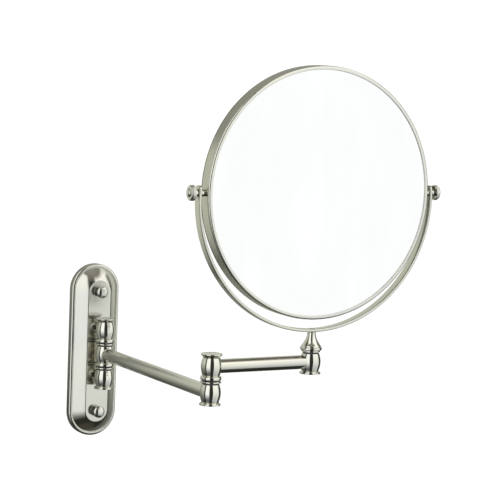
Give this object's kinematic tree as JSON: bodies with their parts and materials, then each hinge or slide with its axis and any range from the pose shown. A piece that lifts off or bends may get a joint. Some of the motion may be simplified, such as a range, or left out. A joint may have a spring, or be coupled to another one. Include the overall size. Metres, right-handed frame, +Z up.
{
  "type": "extendable shaving mirror",
  "caption": "Wall-mounted round two-sided shaving mirror in a half-ring yoke, on a two-link swinging arm hinged to an upright round-ended wall plate.",
  "frame": {"origin": "centre of the wall bracket's back face, the face that lies on the wall", "axes": "+Z up, +Y into the wall, -Y out into the room, +X to the right of a person who faces the wall"},
  "size_m": [0.2336, 0.2368, 0.3355],
  "materials": {
    "satin_nickel": "warm satin nickel plate",
    "polished_nickel": "polished nickel plate",
    "mirror_glass": "silvered glass",
    "zinc_steel": "zinc-plated steel",
    "spring_steel": "dark spring steel",
    "nylon": "natural nylon",
    "foam": "black foam board"
  },
  "bodies": {
    "wall": {"wall_bracket": "zinc_steel", "wall_plate": "satin_nickel", "bracket_stud_upper": "zinc_steel", "bracket_stud_lower": "zinc_steel", "cap_nut_upper": "polished_nickel", "cap_nut_lower": "polished_nickel", "knuckle_screw_upper": "zinc_steel", "knuckle_screw_lower": "zinc_steel", "wall_knuckle_upper": "polished_nickel", "wall_knuckle_lower": "polished_nickel", "wall_washer_upper": "nylon", "wall_washer_lower": "nylon", "wall_hinge_pin": "zinc_steel", "wall_hinge_top_cap": "polished_nickel", "wall_hinge_bottom_cap": "polished_nickel", "wall_hinge_spring_washer": "spring_steel"},
    "arm_1": {"arm1_rear_knuckle": "polished_nickel", "arm1_tube": "satin_nickel", "arm1_front_knuckle": "polished_nickel", "elbow_washer": "nylon", "elbow_pin": "zinc_steel", "elbow_top_cap": "polished_nickel", "elbow_bottom_cap": "polished_nickel", "elbow_spring_washer": "spring_steel"},
    "arm_2": {"arm2_rear_knuckle": "polished_nickel", "arm2_tube": "satin_nickel", "arm2_front_knuckle": "polished_nickel", "swivel_washer": "nylon"},
    "yoke_swivel": {"swivel_bottom_cap": "polished_nickel", "swivel_spring_washer": "spring_steel", "swivel_screw": "zinc_steel", "yoke_stem": "polished_nickel", "yoke": "satin_nickel", "stem_screw": "zinc_steel"},
    "mirror_head": {"mirror_band": "satin_nickel", "front_bezel": "satin_nickel", "rear_bezel": "satin_nickel", "front_glass": "mirror_glass", "rear_glass": "mirror_glass", "backing_pad": "foam", "spacer_ring": "nylon", "pivot_boss_right": "zinc_steel", "pivot_spacer_right": "polished_nickel", "pivot_boss_left": "zinc_steel", "pivot_spacer_left": "polished_nickel"},
    "right_pivot": {"pivot_screw_right": "zinc_steel"},
    "right_knob": {"knob_right": "polished_nickel"},
    "left_pivot": {"pivot_screw_left": "zinc_steel"},
    "left_knob": {"knob_left": "polished_nickel"}
  },
  "joints": [
    {"name": "wall_swing", "type": "hinge", "parent": "wall", "child": "arm_1", "pos_m": [0, -0.028, 0], "axis": [0, 0, 1], "range_deg": [-90, 90]},
    {"name": "elbow_swing", "type": "hinge", "parent": "arm_1", "child": "arm_2", "pos_m": [0, -0.228, 0.021], "axis": [0, 0, 1], "continuous": true},
    {"name": "head_swivel", "type": "hinge", "parent": "arm_2", "child": "yoke_swivel", "pos_m": [0.09, -0.228, 0.045], "axis": [0, 0, 1], "continuous": true},
    {"name": "mirror_tilt", "type": "hinge", "parent": "yoke_swivel", "child": "mirror_head", "pos_m": [0.09, -0.228, 0.1575], "axis": [1, 0, 0], "continuous": true},
    {"name": "right_screw_travel", "type": "slide", "parent": "mirror_head", "child": "right_pivot", "axis": [1, 0, 0], "range_m": [0, 0.0015]},
    {"name": "right_knob_turn", "type": "hinge", "parent": "right_pivot", "child": "right_knob", "pos_m": [0.2, -0.228, 0.1575], "axis": [1, 0, 0], "range_deg": [0, 720]},
    {"name": "left_screw_travel", "type": "slide", "parent": "mirror_head", "child": "left_pivot", "axis": [-1, 0, 0], "range_m": [0, 0.0015]},
    {"name": "left_knob_turn", "type": "hinge", "parent": "left_pivot", "child": "left_knob", "pos_m": [-0.02, -0.228, 0.1575], "axis": [-1, 0, 0], "range_deg": [0, 720]}
  ],
  "couplings": [
    {"joint": "right_screw_travel", "follows": "right_knob_turn", "m_per_rad": 0.00011141},
    {"joint": "left_screw_travel", "follows": "left_knob_turn", "m_per_rad": 0.00011141}
  ]
}
